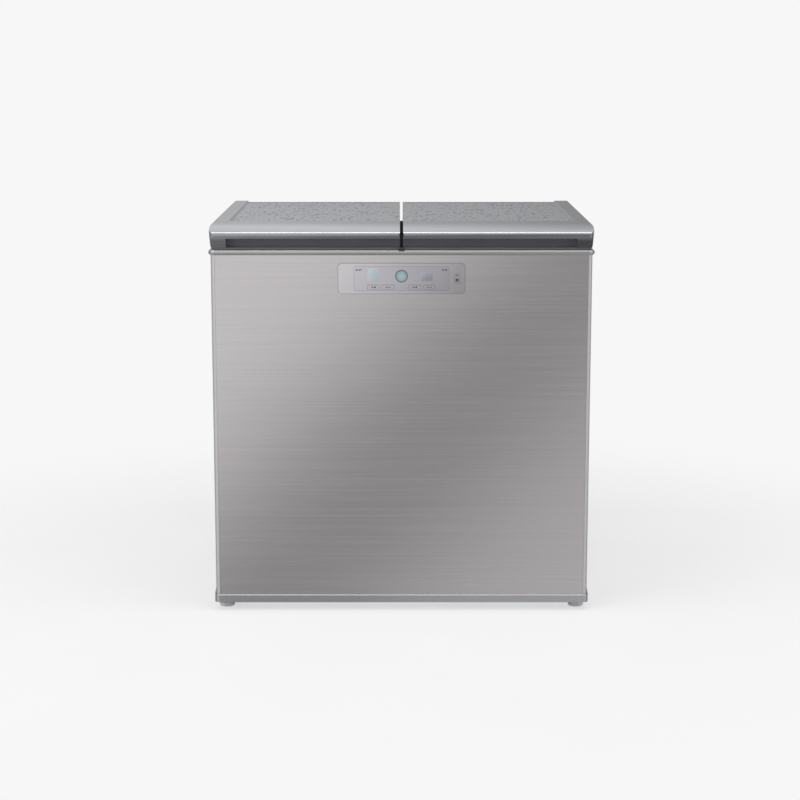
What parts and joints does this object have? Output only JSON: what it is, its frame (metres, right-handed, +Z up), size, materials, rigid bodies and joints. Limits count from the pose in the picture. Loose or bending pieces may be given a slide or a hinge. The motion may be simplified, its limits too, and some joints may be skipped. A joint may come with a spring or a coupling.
{
  "type": "kimchi refrigerator",
  "caption": "Chest-type kimchi refrigerator with twin top-opening lids, brushed steel front, control panel, foam-insulated aluminium compartments and a rear machine room.",
  "frame": {"origin": "middle of the footprint, on the floor", "axes": "+X to the right as seen from the front, front faces -Y, +Z up"},
  "size_m": [0.89, 0.746, 0.9136],
  "materials": {
    "front_steel": "satin",
    "side_paint": "satin",
    "zinc_steel": "satin",
    "base_plastic": "satin",
    "rim_plastic": "satin",
    "lid_silver": "gloss",
    "lid_pattern": "satin",
    "lid_dark": "satin",
    "foam": "matte",
    "liner_aluminium": "satin",
    "copper": "satin",
    "seal_rubber": "matte",
    "black_enamel": "gloss",
    "plated_steel": "satin",
    "dark_plastic": "matte",
    "white_plastic": "satin",
    "foot_plastic": "satin",
    "circuit_board": "satin",
    "bezel_silver": "satin",
    "window_film": "gloss",
    "ring_plastic": "gloss",
    "button_teal": "gloss",
    "key_plastic": "gloss",
    "hinge_paint": "satin"
  },
  "bodies": {
    "cabinet": {"front_panel": "front_steel", "side_panel_left": "side_paint", "side_panel_right": "side_paint", "back_panel": "zinc_steel", "machine_cover": "zinc_steel", "machine_deck": "zinc_steel", "base_frame": "zinc_steel", "hinge_brackets": "zinc_steel", "roller_brackets": "zinc_steel", "base_trim": "base_plastic", "top_frame": "rim_plastic", "insulation": "foam", "liner_left": "liner_aluminium", "liner_right": "liner_aluminium", "condenser_fins": "liner_aluminium", "evaporator_left": "copper", "evaporator_right": "copper", "condenser_tube": "copper", "filter_drier": "copper", "refrigerant_pipes": "copper", "cord_gland": "seal_rubber", "compressor_mounts": "seal_rubber", "compressor": "black_enamel", "cover_screws": "plated_steel", "hinge_pins": "plated_steel", "roller_axles": "plated_steel", "fan_motor": "plated_steel", "fan_shroud": "dark_plastic", "board_tray": "dark_plastic", "control_housing": "dark_plastic", "temperature_sensors": "white_plastic", "power_board": "circuit_board", "display_board": "circuit_board", "control_bezel": "bezel_silver", "display_window": "window_film", "button_ring": "ring_plastic"},
    "left_lid": {"lid_frame_left": "lid_silver", "lid_panel_left": "lid_pattern", "lid_inner_left": "lid_dark", "lid_foam_left": "foam", "lid_gasket_left": "seal_rubber", "hinge_arms_left": "hinge_paint"},
    "right_lid": {"lid_frame_right": "lid_silver", "lid_panel_right": "lid_pattern", "lid_inner_right": "lid_dark", "lid_foam_right": "foam", "lid_gasket_right": "seal_rubber", "hinge_arms_right": "hinge_paint"},
    "round_button": {"round_button": "button_teal"},
    "key_1": {"key_1": "key_plastic"},
    "key_2": {"key_2": "key_plastic"},
    "key_3": {"key_3": "key_plastic"},
    "key_4": {"key_4": "key_plastic"},
    "lock_key": {"lock_key": "key_plastic"},
    "left_foot": {"front_foot_left": "foot_plastic"},
    "right_foot": {"front_foot_right": "foot_plastic"},
    "left_roller": {"rear_roller_left": "dark_plastic"},
    "right_roller": {"rear_roller_right": "dark_plastic"},
    "fan": {"fan_blade": "white_plastic"}
  },
  "joints": [
    {"name": "left_lid_hinge", "type": "hinge", "parent": "cabinet", "child": "left_lid", "pos_m": [0, 0.365, 0.872], "axis": [-1, 0, 0], "range_deg": [0, 75]},
    {"name": "right_lid_hinge", "type": "hinge", "parent": "cabinet", "child": "right_lid", "pos_m": [0, 0.365, 0.872], "axis": [-1, 0, 0], "range_deg": [0, 75]},
    {"name": "round_button_press", "type": "slide", "parent": "cabinet", "child": "round_button", "axis": [0, 1, 0], "range_m": [0, 0.0008], "stiffness_N_per_m": 800, "springref_m": -0.0005},
    {"name": "key_1_press", "type": "slide", "parent": "cabinet", "child": "key_1", "axis": [0, 1, 0], "range_m": [0, 0.0008], "stiffness_N_per_m": 800, "springref_m": -0.0005},
    {"name": "key_2_press", "type": "slide", "parent": "cabinet", "child": "key_2", "axis": [0, 1, 0], "range_m": [0, 0.0008], "stiffness_N_per_m": 800, "springref_m": -0.0005},
    {"name": "key_3_press", "type": "slide", "parent": "cabinet", "child": "key_3", "axis": [0, 1, 0], "range_m": [0, 0.0008], "stiffness_N_per_m": 800, "springref_m": -0.0005},
    {"name": "key_4_press", "type": "slide", "parent": "cabinet", "child": "key_4", "axis": [0, 1, 0], "range_m": [0, 0.0008], "stiffness_N_per_m": 800, "springref_m": -0.0005},
    {"name": "lock_key_press", "type": "slide", "parent": "cabinet", "child": "lock_key", "axis": [0, 1, 0], "range_m": [0, 0.0008], "stiffness_N_per_m": 800, "springref_m": -0.0005},
    {"name": "left_foot_turn", "type": "hinge", "parent": "cabinet", "child": "left_foot", "pos_m": [-0.4176, -0.323, 0.02], "axis": [0, 0, 1], "continuous": true},
    {"name": "right_foot_turn", "type": "hinge", "parent": "cabinet", "child": "right_foot", "pos_m": [0.4176, -0.323, 0.02], "axis": [0, 0, 1], "continuous": true},
    {"name": "left_roller_spin", "type": "hinge", "parent": "cabinet", "child": "left_roller", "pos_m": [-0.396, 0.295, 0.02], "axis": [1, 0, 0], "continuous": true},
    {"name": "right_roller_spin", "type": "hinge", "parent": "cabinet", "child": "right_roller", "pos_m": [0.396, 0.295, 0.02], "axis": [1, 0, 0], "continuous": true},
    {"name": "fan_spin", "type": "hinge", "parent": "cabinet", "child": "fan", "pos_m": [0.045, 0.24, 0.164], "axis": [1, 0, 0], "continuous": true}
  ]
}
